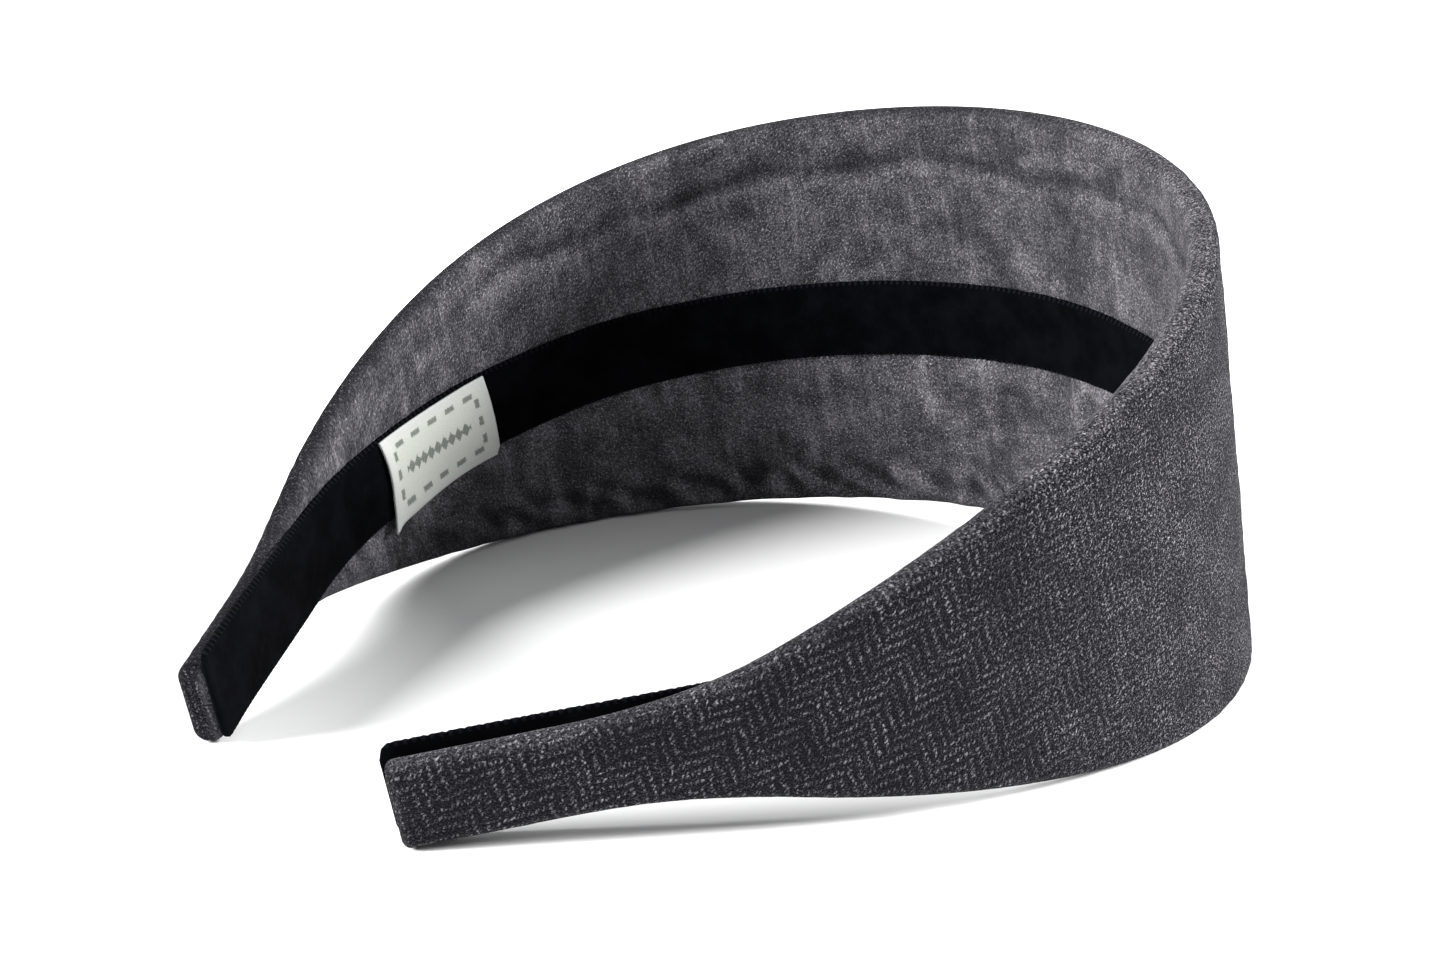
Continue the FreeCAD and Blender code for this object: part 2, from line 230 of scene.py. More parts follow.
# ---------------------------------------------------------------- materials
class Graph:
    """A short way to write a material's nodes."""

    def __init__(self, name):
        self.material = bpy.data.materials.new(name)
        self.material.use_nodes = True
        self.tree = self.material.node_tree
        self.shader = self.tree.nodes["Principled BSDF"]

    def set(self, **values):
        for name, value in values.items():
            self.shader.inputs[name.replace("_", " ")].default_value = value

    def link(self, value, socket):
        if isinstance(value, bpy.types.NodeSocket):
            self.tree.links.new(value, socket)
        else:
            socket.default_value = value

    def node(self, kind, inputs=(), **settings):
        node = self.tree.nodes.new(kind)
        for name, value in settings.items():
            setattr(node, name, value)
        for key, value in dict(inputs).items():
            self.link(value, node.inputs[key])
        return node

    def math(self, operation, a, b=0.0, c=0.0):
        return self.node("ShaderNodeMath", {0: a, 1: b, 2: c}, operation=operation).outputs[0]

    def mix(self, share, a, b):
        node = self.node("ShaderNodeMix", data_type="RGBA")
        sockets = {socket.name: socket for socket in node.inputs if socket.enabled}
        for key, value in (("Factor", share), ("A", a), ("B", b)):
            self.link(value, sockets[key])
        return next(socket for socket in node.outputs if socket.enabled)

    def ramp(self, value, low, high, low_to=0.0, high_to=1.0, smoothly=True):
        node = self.node("ShaderNodeMapRange", {"Value": value, "From Min": low, "From Max": high,
                                                "To Min": low_to, "To Max": high_to})
        node.interpolation_type = "SMOOTHSTEP" if smoothly else "LINEAR"
        return node.outputs[0]

    def noise(self, vector, scale, detail=2.0, rough=0.5):
        node = self.node("ShaderNodeTexNoise", {"Vector": vector, "Scale": scale, "Detail": detail,
                                                "Roughness": rough})
        return node.outputs["Fac"]

    def vector(self, x, y, z=0.0):
        return self.node("ShaderNodeCombineXYZ", {0: x, 1: y, 2: z}).outputs[0]

    def cloth_place(self):
        """The cloth's own place, in millimetres, along and across."""
        place = self.node("ShaderNodeUVMap", uv_map="cloth").outputs[0]
        parts = self.node("ShaderNodeSeparateXYZ", {0: place})
        return place, parts.outputs[0], parts.outputs[1]

    def bump(self, height, distance):
        node = self.node("ShaderNodeBump", {"Height": height, "Distance": distance})
        return node.outputs["Normal"]

    def trait(self, name):
        return self.node("ShaderNodeAttribute", attribute_name=name).outputs["Fac"]

    def stretched(self, place, scale, turn=0.0):
        """The place scaled by a pair of numbers, and turned, for a noise with a direction."""
        inputs = {"Vector": place, "Scale": (*scale, 1.0), "Rotation": (0, 0, turn)}
        return self.node("ShaderNodeMapping", inputs).outputs[0]


PICK = 0.45  # spacing of the weft, along the columns of the herringbone
END = 0.455  # spacing of the warp, across them
COLUMN = 8.0  # warp ends in a column
BIAS = math.radians(52)  # the columns' angle to the band's length
REPEAT = 4.0  # threads in a repeat of the twill, over two and under two
THREAD_HEIGHT = 0.18

DARK_WOOL = ((0.0012, 0.0014, 0.0022, 1), (0.0052, 0.0054, 0.0074, 1))
LIGHT_WOOL = ((0.095, 0.091, 0.103, 1), (0.270, 0.262, 0.283, 1))
BLACK_PILE = ((0.0007, 0.0008, 0.0012, 1), (0.0020, 0.0022, 0.0030, 1))
PILE_TIPS = (0.0060, 0.0062, 0.0082, 1)
WOVEN_EDGE = ((0.0010, 0.0011, 0.0018, 1), (0.0085, 0.0088, 0.0120, 1))
CREAM = ((0.37, 0.392, 0.357, 1), (0.53, 0.552, 0.508, 1))
LABEL_MARGIN = (0.43, 0.425, 0.435, 1)
LABEL_FUZZ = (0.28, 0.305, 0.26, 1)
LABEL_INK = (0.125, 0.140, 0.120, 1)

# Where the cloth's surface changes, in millimetres along the band from its crown.
CROWN_CLOTH = 50.0  # the crown's own cloth is less brushed, up to here
BRUSHED_FADES = (75.0, 150.0)  # the brushed nap of the temples wears off between these
LEG_DULLS = (85.0, 140.0)  # the legs' outside is darker beyond
RIM_SHADE_TO_LIGHT = (-20.0, 45.0)  # where the rim goes from painted shade on the left to a painted highlight on the right


def jitter(g, along, across, scale, size, detail=2):
    """Moves a place on the cloth a little at random."""
    first = g.math("SUBTRACT", g.noise(g.vector(along, across, scale), scale, detail), 0.5)
    second = g.math("SUBTRACT", g.noise(g.vector(across, along, scale + 5), scale, detail), 0.5)
    return g.math("MULTIPLY_ADD", first, size, along), g.math("MULTIPLY_ADD", second, size, across)


def floats(g, phase, lane):
    """Rounded strokes where a thread passes over two others."""
    over = g.math("LESS_THAN", phase, REPEAT / 2)
    arch = g.math("SINE", g.math("MULTIPLY", phase, 2 * math.pi / REPEAT))
    side = g.math("SUBTRACT", g.math("FRACT", lane), 0.5)
    barrel = g.math("MULTIPLY_ADD", g.math("MULTIPLY", side, side), -3.6, 1.0)
    return g.math("MULTIPLY", over, g.math("MULTIPLY", g.math("MULTIPLY_ADD", arch, 0.55, 0.45), barrel))


def herringbone(g, along, across):
    """Heights of the warp and of the weft, in columns that turn back with a break between them."""
    along, across = jitter(g, along, across, 0.45, 1.1, 3)
    along, across = jitter(g, along, across, 2.4, 0.58, 2)
    pick = g.math("ADD", g.math("MULTIPLY", along, -math.cos(BIAS) / PICK),
                  g.math("MULTIPLY", across, math.sin(BIAS) / PICK))
    row = g.math("ADD", g.math("MULTIPLY", along, -math.sin(BIAS) / END),
                 g.math("MULTIPLY", across, -math.cos(BIAS) / END))
    end = g.math("PINGPONG", row, COLUMN)
    turned_back = g.math("MODULO", g.math("ABSOLUTE", g.math("FLOOR", g.math("DIVIDE", row, COLUMN))), 2.0)
    shift = g.math("MULTIPLY", turned_back, REPEAT / 2)
    pick = g.math("ADD", pick, shift)
    warp_phase = g.math("FLOORED_MODULO", g.math("ADD", pick, g.math("FLOOR", end)), REPEAT)
    over_weft = g.math("ADD", end, g.math("FLOOR", pick))
    weft_phase = g.math("FLOORED_MODULO", g.math("SUBTRACT", over_weft, REPEAT / 2), REPEAT)
    return floats(g, warp_phase, end), floats(g, weft_phase, pick)


def wool_material():
    """Brushed two-and-two herringbone: light heathered warp steps over a dark weft, under a nap."""
    g = Graph("herringbone_wool")
    place, along, across = g.cloth_place()
    inner = g.trait("inner_side")
    rim = g.trait("rim")
    stands_out = g.trait("stands_out")
    warp, weft = herringbone(g, along, across)

    # Random patterns of the yarn, its fibres and its wear.
    grain = g.noise(place, 4.6, 3, 0.6)
    fleck = g.noise(g.vector(across, along, 11.0), 2.1, 2, 0.6)
    cloud = g.noise(place, 0.13, 3, 0.55)
    worn = g.noise(g.vector(along, across, 23.0), 0.33, 3, 0.6)
    patch = g.noise(g.vector(along, across, 37.0), 0.50, 4, 0.62)
    fibre = g.noise(g.stretched(place, (8.0, 2.4), 0.7), 1.0, 3, 0.7)
    streaks = g.noise(g.stretched(place, (1.0, 0.13)), 0.62, 2, 0.5)
    speckle = g.noise(place, 2.8, 2, 0.75)
    pepper = g.ramp(g.math("MULTIPLY_ADD", grain, 0.7, speckle), 0.86, 1.12)

    # The light warp steps, which show through less where the cloth is brushed or turned in.
    from_crown = g.math("ABSOLUTE", along)
    brushed = g.math("MULTIPLY", g.ramp(from_crown, *BRUSHED_FADES, 1.0, 0.0),
                     g.ramp(from_crown, 0.0, CROWN_CLOTH, 0.35, 1.0))
    shown = g.ramp(g.math("MULTIPLY_ADD", grain, 0.75, g.math("MULTIPLY", fleck, 0.90)), 0.70, 1.02)
    stroke = g.math("MULTIPLY", g.ramp(warp, 0.32, 0.95), shown)
    stroke = g.math("MULTIPLY", stroke, g.ramp(worn, 0.30, 0.62, 0.55, 1.0))
    stroke = g.math("MULTIPLY", stroke, g.ramp(inner, 0.0, 1.0, 1.0, 0.34))
    stroke = g.math("MULTIPLY", stroke, g.ramp(brushed, 0.0, 1.0, 1.0, 0.45))

    # The nap: loose light fibres, thicker on the inner side and the temples. On the rims, light fibres
    # with a painted highlight, strong on the right side only.
    haze = g.math("MULTIPLY", g.ramp(fibre, 0.52, 0.85), g.ramp(inner, 0.0, 1.0, 0.12, 0.38))
    haze = g.math("MULTIPLY_ADD", g.ramp(grain, 0.48, 0.80), g.ramp(worn, 0.62, 0.30, 0.05, 0.22), haze)
    # Painted highlight: the rim is lighter on the right side, where the light falls on it.
    rim_nap_and_highlight = g.math("MULTIPLY", rim, g.ramp(along, *RIM_SHADE_TO_LIGHT, 0.06, 0.28))
    haze = g.math("MULTIPLY_ADD", rim_nap_and_highlight, g.ramp(g.math("ADD", grain, fleck), 0.78, 1.25), haze)
    haze = g.math("MULTIPLY_ADD", inner, g.ramp(patch, 0.30, 0.72, 0.10, 0.28), haze)
    haze = g.math("MULTIPLY_ADD", inner, g.ramp(streaks, 0.52, 0.80, 0.0, 0.22), haze)
    haze = g.math("MULTIPLY_ADD", pepper, g.ramp(brushed, 0.0, 1.0, 0.32, 1.25), haze)

    # The share of light wool at each point.
    light_share = g.math("MULTIPLY", g.math("ADD", stroke, haze), g.ramp(cloud, 0.32, 0.68, 0.60, 1.25))
    dull_leg = g.math("MULTIPLY", g.ramp(from_crown, *LEG_DULLS), g.ramp(inner, 0.0, 1.0, 1.0, 0.0))
    light_share = g.math("MULTIPLY", light_share, g.ramp(dull_leg, 0.0, 1.0, 1.0, 0.66))
    # Painted shade: the rim is darker on the left side, away from the light.
    painted_rim_shade = g.math("MULTIPLY", rim, g.ramp(along, *RIM_SHADE_TO_LIGHT, 0.60, 0.0))
    light_share = g.math("MULTIPLY", light_share, g.math("SUBTRACT", 1.0, painted_rim_shade))
    # Painted shade in the hollows of the gathers and puckers, and painted light on their ridges, by how
    # far the cloth stands proud.
    hollow_shade_ridge_light = g.ramp(stands_out, -0.30, 0.45, 0.40, 1.80, smoothly=False)
    light_share = g.math("MULTIPLY", light_share, hollow_shade_ridge_light)
    dark = g.mix(g.ramp(grain, 0.3, 0.7), *DARK_WOOL)
    light = g.mix(g.ramp(fleck, 0.3, 0.7), *LIGHT_WOOL)
    g.link(g.mix(g.math("MINIMUM", light_share, 1.0), dark, light), g.shader.inputs["Base Color"])

    relief = g.math("MAXIMUM", warp, weft)
    relief = g.math("MULTIPLY", relief, g.ramp(inner, 0.0, 1.0, 1.0, 0.6))
    relief = g.math("MULTIPLY_ADD", grain, 0.8, relief)
    relief = g.math("MULTIPLY_ADD", fibre, 0.5, relief)
    g.link(g.bump(relief, THREAD_HEIGHT * MM), g.shader.inputs["Normal"])
    g.link(g.ramp(grain, 0.2, 0.8, 0.82, 0.97), g.shader.inputs["Roughness"])
    g.set(Specular_IOR_Level=0.04)
    g.set(Sheen_Weight=0.05, Sheen_Roughness=0.38, Sheen_Tint=(0.74, 0.71, 0.76, 1))
    return g.material


def velvet_material():
    """Black pile that drinks the light, between narrow woven edges of small loops."""
    g = Graph("black_velvet")
    place, along, across = g.cloth_place()
    tufts = g.noise(place, 6.4, 3, 0.7)
    ranks = g.math("SINE", g.math("MULTIPLY", along, 2 * math.pi / 0.42))
    nap = g.noise(place, 0.16, 3, 0.6)
    edge = g.ramp(g.math("ABSOLUTE", across), RIBBON_WIDTH / 2 - 0.62, RIBBON_WIDTH / 2 - 0.42)
    loops = g.math("ABSOLUTE", g.math("SINE", g.math("MULTIPLY", along, math.pi / BEAD)))
    colour = g.mix(g.ramp(nap, 0.35, 0.7), *BLACK_PILE)
    colour = g.mix(g.ramp(tufts, 0.60, 0.85, 0.0, 0.4), colour, PILE_TIPS)
    woven = g.mix(g.math("MULTIPLY", g.ramp(loops, 0.55, 1.0), g.ramp(tufts, 0.3, 0.7)), *WOVEN_EDGE)
    g.link(g.mix(edge, colour, woven), g.shader.inputs["Base Color"])
    pile = g.math("MULTIPLY_ADD", ranks, 0.12, tufts)
    relief = g.math("ADD", pile, g.math("MULTIPLY", edge, g.math("MULTIPLY", loops, 1.4)))
    g.link(g.bump(relief, 0.12 * MM), g.shader.inputs["Normal"])
    g.link(g.ramp(tufts, 0.3, 0.7, 0.86, 1.0), g.shader.inputs["Roughness"])
    g.set(Specular_IOR_Level=0.015, Sheen_Weight=0.006, Sheen_Roughness=0.30)
    return g.material


DASH_HALF_WIDTH = 0.48
LOZENGE = (1.7, 1.25)  # pitch of the row and half height
ROW_HALF_LENGTH = 8.0


def label_material():
    """Cream satin weave with a broken border line and a row of plain lozenges."""
    g = Graph("woven_label")
    place, along, across = g.cloth_place()
    half_l, half_w = LABEL_LENGTH / 2, LABEL_WIDTH / 2
    threads = g.math("SINE", g.math("MULTIPLY", across, 2 * math.pi / 0.30))
    picks = g.math("SINE", g.math("MULTIPLY", along, 2 * math.pi / 0.34))
    weave = g.math("MULTIPLY", threads, picks)
    fuzz = g.noise(place, 3.5, 3, 0.6)
    wander = g.math("MULTIPLY", g.math("SUBTRACT", g.noise(place, 2.2, 2), 0.5), 0.55)
    x = g.math("ADD", along, wander)
    y = g.math("ADD", across, wander)
    away_x = g.math("ABSOLUTE", x)
    away_y = g.math("ABSOLUTE", y)

    def line(distance, at):
        """1 on a soft line at that distance, 0 away from it."""
        gap = g.math("ABSOLUTE", g.math("SUBTRACT", distance, at))
        return g.ramp(gap, DASH_HALF_WIDTH * 0.55, DASH_HALF_WIDTH * 1.25, 1.0, 0.0)

    def dashes(value, pitch):
        """1 on a soft dash over half of each pitch, 0 between them."""
        turn = g.math("FRACT", g.math("ADD", g.math("DIVIDE", value, pitch), 0.5))
        return g.ramp(g.math("ABSOLUTE", g.math("SUBTRACT", turn, 0.5)), 0.21, 0.29, 1.0, 0.0)

    inside_x = g.ramp(away_x, half_l - 2.2, half_l - 2.0, 1.0, 0.0)
    inside_y = g.ramp(away_y, half_w - 1.7, half_w - 1.5, 1.0, 0.0)
    long_sides = g.math("MULTIPLY", line(away_y, half_w - 2.1), dashes(x, 4.3))
    long_sides = g.math("MULTIPLY", long_sides, inside_x)
    short_sides = g.math("MULTIPLY", line(away_x, half_l - 2.7), dashes(y, 3.0))
    short_sides = g.math("MULTIPLY", short_sides, inside_y)
    turn = g.math("SUBTRACT", g.math("FRACT", g.math("ADD", g.math("DIVIDE", x, LOZENGE[0]), 0.5)), 0.5)
    lozenge = g.math("ADD", g.math("MULTIPLY", g.math("ABSOLUTE", turn), 1.5),
                     g.math("DIVIDE", away_y, LOZENGE[1]))
    row_end = g.ramp(away_x, ROW_HALF_LENGTH, ROW_HALF_LENGTH + 0.1, 1.0, 0.0)
    row = g.math("MULTIPLY", g.ramp(lozenge, 0.75, 1.0, 1.0, 0.0), row_end)
    ink = g.math("MINIMUM", g.math("ADD", g.math("ADD", long_sides, short_sides), row), 1.0)
    ink = g.math("MULTIPLY", ink, g.ramp(fuzz, 0.25, 0.55, 0.72, 1.0))

    margin = g.math("MAXIMUM", g.ramp(away_x, half_l - 2.0, half_l - 0.8),
                    g.ramp(away_y, half_w - 1.6, half_w - 0.6))
    ground = g.mix(g.ramp(weave, -1.0, 1.0), *CREAM)
    ground = g.mix(g.math("MULTIPLY", margin, 0.6), ground, LABEL_MARGIN)
    ground = g.mix(g.ramp(fuzz, 0.35, 0.75, 0.0, 0.35), ground, LABEL_FUZZ)
    g.link(g.mix(ink, ground, LABEL_INK), g.shader.inputs["Base Color"])
    height = g.math("ADD", g.math("MULTIPLY", weave, 0.35), g.math("MULTIPLY", ink, 0.8))
    g.link(g.bump(g.math("MULTIPLY_ADD", fuzz, 0.4, height), 0.06 * MM), g.shader.inputs["Normal"])
    g.link(g.ramp(fuzz, 0.2, 0.8, 0.55, 0.75), g.shader.inputs["Roughness"])
    g.set(Specular_IOR_Level=0.3, Sheen_Weight=0.15, Sheen_Roughness=0.4)
    return g.material


def object_place(g):
    return g.node("ShaderNodeTexCoord").outputs["Object"]


def core_material():
    g = Graph("moulded_core")
    place = object_place(g)
    grain = g.noise(place, 900.0, 3, 0.6)
    flow = g.noise(place, 60.0, 2)
    g.link(g.mix(flow, (0.022, 0.022, 0.024, 1), (0.040, 0.040, 0.043, 1)), g.shader.inputs["Base Color"])
    g.link(g.bump(grain, 0.03 * MM), g.shader.inputs["Normal"])
    g.link(g.ramp(grain, 0.3, 0.7, 0.42, 0.58), g.shader.inputs["Roughness"])
    return g.material


def wadding_material():
    g = Graph("needled_wadding")
    place = object_place(g)
    fibres = g.noise(place, 1400.0, 5, 0.75)
    clumps = g.noise(place, 180.0, 3)
    g.link(g.mix(clumps, (0.62, 0.61, 0.57, 1), (0.80, 0.79, 0.76, 1)), g.shader.inputs["Base Color"])
    g.link(g.bump(g.math("ADD", fibres, clumps), 0.2 * MM), g.shader.inputs["Normal"])
    g.link(g.ramp(fibres, 0.3, 0.7, 0.85, 1.0), g.shader.inputs["Roughness"])
    g.set(Sheen_Weight=0.3)
    return g.material


def glue_material():
    g = Graph("set_glue")
    place = object_place(g)
    cloudy = g.noise(place, 250.0, 4, 0.6)
    g.link(g.mix(cloudy, (0.62, 0.52, 0.32, 1), (0.80, 0.74, 0.56, 1)), g.shader.inputs["Base Color"])
    g.link(g.bump(cloudy, 0.15 * MM), g.shader.inputs["Normal"])
    g.link(g.ramp(cloudy, 0.3, 0.7, 0.22, 0.40), g.shader.inputs["Roughness"])
    return g.material


# ---------------------------------------------------------------- the wadding inside
WADDING_GRID = (500, 41)
WADDING_INSET = 0.95  # from the band's edges
WADDING_BOTTOM = 0.23  # out from the band's middle surface
WADDING_LOFT = 0.93  # its thickness


def make_wadding(material):
    """A strip of needled wadding laid on the core's outside, thinner along its cut edges."""
    rows, columns = WADDING_GRID
    end = HALF_LENGTH - WADDING_INSET
    s = np.linspace(-end, end, rows)[:, None]
    half = half_width(s) - WADDING_INSET
    w = half * np.linspace(-1, 1, columns)[None]
    s = s + 0 * w
    from_edge = np.minimum(half - np.abs(w), end - np.abs(s))
    loft = WADDING_LOFT * (0.6 + 0.4 * smooth(0, 1.2, from_edge)) + 0.03 * patchy(s, w, 61, 1.5, 6)
    top = on_band(s, w, WADDING_BOTTOM + loft)
    bottom = on_band(s, w, WADDING_BOTTOM + 0 * w)
    piece = make_piece("wadding_strip", slab(top, bottom, np.stack([s, w], -1)), material)
    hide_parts("wadding")
    return piece


# ---------------------------------------------------------------- the wool cover
ROWS = 462
OUTER_COLUMNS = (30, 14)  # each turned-in half and half the face, and each rim
HIDDEN_COLUMNS = (8, 5)
BETWEEN = 4  # columns of the face that lie opposite the gap between the raw edges
TIP_ROUNDING = 1.0
TIP_ROWS = 9
SLIT = 0.1  # half the gap between the raw edges at the very tips
OUTSIDE_CURVE = 2.15  # power of the rims' curve: 2 is round, and more is squarer
HIDDEN_CURVE = 12.0
HIDDEN_ROUNDING = 0.15

# How far each unevenness of the visible cloth stands proud or sinks in.
SWELLS = 0.05
SMALL_SWELLS = 0.045
GATHERS_BELOW = 0.75  # beside the ribbon's lower edge
GATHERS_ABOVE = 0.35
FOLD_LINE = 0.26  # the groove where the cloth's edge shows through, near the upper edge
FOLD_SHARE = 0.12  # its place, in widths of the band from that edge
FOLD_RIDGE = 0.20  # the ridge beside it
PUCKERS = 0.45  # at the lower inside edge
PUCKER_PITCH = 8.5
PUCKER_PLACE = 4.5  # from that edge


def section(half, thick, power, gap, columns):
    """w and o round the cloth, from one raw edge over the outside to the other, at each row."""
    flat_columns, rim_columns = columns
    rim = np.minimum(RIM, thick)[:, None]
    straight = half[:, None] - rim
    gap, thick = np.minimum(gap[:, None], straight - SLIT / 2), thick[:, None]
    flat_w = gap + (straight - gap) * np.linspace(0, 1, flat_columns + 1) ** 0.85
    between = gap * np.linspace(-1, 1, BETWEEN + 1)[1:-1]
    arc = np.linspace(0, math.pi, rim_columns + 1)[1:-1]
    rim_w = straight + rim * np.sin(arc) ** (2 / power)
    rim_o = -thick * np.sign(np.cos(arc)) * np.abs(np.cos(arc)) ** (2 / power)
    face_w = np.concatenate([-flat_w[:, ::-1], between, flat_w], 1)
    w = np.concatenate([-flat_w, -rim_w, face_w, rim_w[:, ::-1], flat_w[:, ::-1]], 1)
    turned_in = -thick + 0 * flat_w
    face_o = thick + 0 * face_w
    o = np.concatenate([turned_in, rim_o, face_o, rim_o[:, ::-1], turned_in], 1)
    return w, o


def cover_layer(inset, rounding, power, columns):
    """One skin of the cloth, inset from its outside, with folded-over tips that close on a line."""
    end = HALF_LENGTH - inset
    thickness = HALF_THICKNESS - inset
    run = np.linspace(-(end - rounding), end - rounding, ROWS)
    turn = np.linspace(0, math.pi / 2, TIP_ROWS - 3)[1:]
    shut = np.linspace(rounding, thickness, 5)[1:]
    tip_s = np.concatenate([end - rounding + rounding * np.sin(turn), np.full(len(shut), end)])
    tip_in = np.concatenate([rounding * (1 - np.cos(turn)), shut])
    s = np.concatenate([-tip_s[::-1], run, tip_s])
    drawn_in = np.concatenate([tip_in[::-1], 0 * run, tip_in])
    half = half_width(s) - inset - drawn_in
    gap = SLIT + (SLOT - SLIT) * smooth(0, 4, HALF_LENGTH - 2 - np.abs(s))
    w, o = section(half, thickness - drawn_in, power, gap, columns)
    return s[:, None] + 0 * w, w, o, half_width(s)[:, None] + 0 * w


def pleats(s, away, seed, count, reach):
    """Radial gathers of the turned-in cloth beside the ribbon; away is the distance from it."""
    rng = np.random.default_rng(seed)
    total = np.zeros_like(s)
    for _ in range(count):
        at = rng.uniform(-150, 150)
        wide = rng.uniform(0.8, 1.5)
        long = rng.uniform(0.35, 1.0) * reach
        lean = rng.normal(0, 0.12)
        tall = rng.uniform(0.3, 1.0)
        fade = np.exp(-np.maximum(away, 0) / long)
        total += tall * fade * np.exp(-(((s - at - lean * away) / wide) ** 2))
    return total


def cover_relief(s, w, o, half):
    """How far the visible cloth stands proud of its plain section, by place."""
    inner = smooth(0.0, 1.0, -o)
    outer = smooth(0.0, 1.0, o)
    height = np.abs(w)
    beside = height - RIBBON_WIDTH / 2
    open_cloth = smooth(-0.5, 1.5, beside) * smooth(0.0, 3.0, half - height)
    relief = SWELLS * patchy(s, w, 3, 6, 30) * (inner + outer) * smooth(0, 4, half - height)
    relief += SMALL_SWELLS * patchy(s, w, 9, 2.2, 6) * smooth(0, 1, half - height)
    low = inner * open_cloth * (w < 0)
    high = inner * open_cloth * (w > 0)
    relief += GATHERS_BELOW * low * pleats(s, beside, 21, 95, 9.0)
    relief += GATHERS_ABOVE * high * pleats(s, beside, 22, 80, 6.0)
    wide = smooth(12, 26, half)
    edge = half - height
    fold_line = edge - FOLD_SHARE * 2 * half - 0.8 * ripple(s, 5, 20, 70)
    relief -= FOLD_LINE * high * wide * np.exp(-((fold_line / 1.3) ** 2))
    relief += FOLD_RIDGE * high * wide * np.exp(-(((fold_line - 2.4) / 1.5) ** 2))
    slanted = s * 0.9 + w * 1.2 + 2.0 * ripple(s, 8, 10, 40)
    pucker = np.maximum(np.sin(slanted * 2 * math.pi / PUCKER_PITCH) + 0.7 * ripple(s, 14, 5, 18), -0.9)
    relief += PUCKERS * inner * (w < 0) * wide * pucker * np.exp(-(((edge - PUCKER_PLACE) / 3.2) ** 2))
    return relief


def displaced(s, w, o, relief):
    """Moves the section outwards from the cloth, along its own normal."""
    dw, do = np.gradient(w, axis=1), np.gradient(o, axis=1)
    size = np.hypot(dw, do) + 1e-9
    return s, w - relief * do / size, o + relief * dw / size


def cloth_uv(s, w, o):
    """Flat place of the cloth: along the outer face, and round the section from its middle."""
    along = s + HALF_THICKNESS * middle(s)[4]
    steps = np.hypot(np.diff(w, axis=1), np.diff(o, axis=1))
    round_it = np.concatenate([np.zeros((len(w), 1)), np.cumsum(steps, 1)], 1)
    round_it -= round_it[:, -1:] / 2
    left_tip = (slice(None, TIP_ROWS), TIP_ROWS, -1)
    right_tip = (slice(-TIP_ROWS, None), -TIP_ROWS - 1, 1)
    for tip, full, side in (left_tip, right_tip):
        folded = np.abs(np.abs(w[full]).max() - np.abs(w[tip]).max(1))
        along[tip] += side * folded[:, None]
        round_it[tip] = round_it[full]
    return np.stack([along, round_it], -1)


def make_cover(material):
    s, w, o, half = cover_layer(0.0, TIP_ROUNDING, OUTSIDE_CURVE, OUTER_COLUMNS)
    uv = cloth_uv(s, w, o)
    inner = smooth(0.0, 1.6, -o)
    past = HALF_LENGTH - np.abs(s)
    rim = np.exp(-(((half - np.abs(w)) / (0.8 + 0.25 * ripple(s, 51, 3, 30))) ** 2)) * smooth(0, 1, past)
    rim += 0.8 * np.exp(-(((past - 0.6) / 0.4) ** 2))
    relief = cover_relief(s, w, o, half) * smooth(0.3, 3.0, past)
    s, w, o = displaced(s, w, o, relief)
    outside = on_band(s, w, o)
    hidden_place = cover_layer(CLOTH, HIDDEN_ROUNDING, HIDDEN_CURVE, HIDDEN_COLUMNS)[:3]
    hidden = on_band(*hidden_place)
    hidden_uv = cloth_uv(*hidden_place)
    patches = [(outside, uv, (inner, rim, relief)), (hidden, hidden_uv, HIDDEN)]
    for column in (0, -1):
        raw_edge = np.stack([outside[:, column], hidden[:, column]], 1)
        patches.append((raw_edge, np.stack([uv[:, column], hidden_uv[:, column]], 1), HIDDEN))
    for row in (0, -1):
        skins = [(grid[row], places[row], (grid.shape[1] - BETWEEN - 1) // 2)
                 for grid, places in ((outside, uv), (hidden, hidden_uv))]
        corner = np.stack([grid[first:first + BETWEEN + 1] for grid, _, first in skins], 0)
        corner_uv = np.stack([places[first:first + BETWEEN + 1] for _, places, first in skins], 0)
        patches.append((corner, corner_uv, HIDDEN))
    piece = make_piece("wool_cover", patches, material)
    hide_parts("fabric_cover")
    return piece


# ---------------------------------------------------------------- the velvet ribbon
RIBBON_ROWS = 900
BEAD_HEIGHT = 0.13  # how deep the woven edge draws in between two loops
RIBBON_PAST_END = 0.65  # how far the cut ends reach beyond the band's tips
RIBBON_CORNERS = (2.0, 1.9)  # radius of the cut ends' lower and upper corners
TIP_RISE = (1.1, 0.4)  # of the ribbon at the left and the right tip
WOVEN_COLUMNS = (0.9, 0.93, 0.955, 0.985, 1.0)  # of each woven edge, in half widths
PILE_COLUMNS = 17
PILE_HALF_SHARE = 0.84


def ribbon_rise(s):
    """The ribbon lies along the middle and rises a little towards the tips."""
    wander = 0.08 * ripple(s, 31, 25, 80) * smooth(0, 20, HALF_LENGTH - np.abs(s))
    return np.where(s < 0, *TIP_RISE) * smooth(150, 185, np.abs(s)) + wander


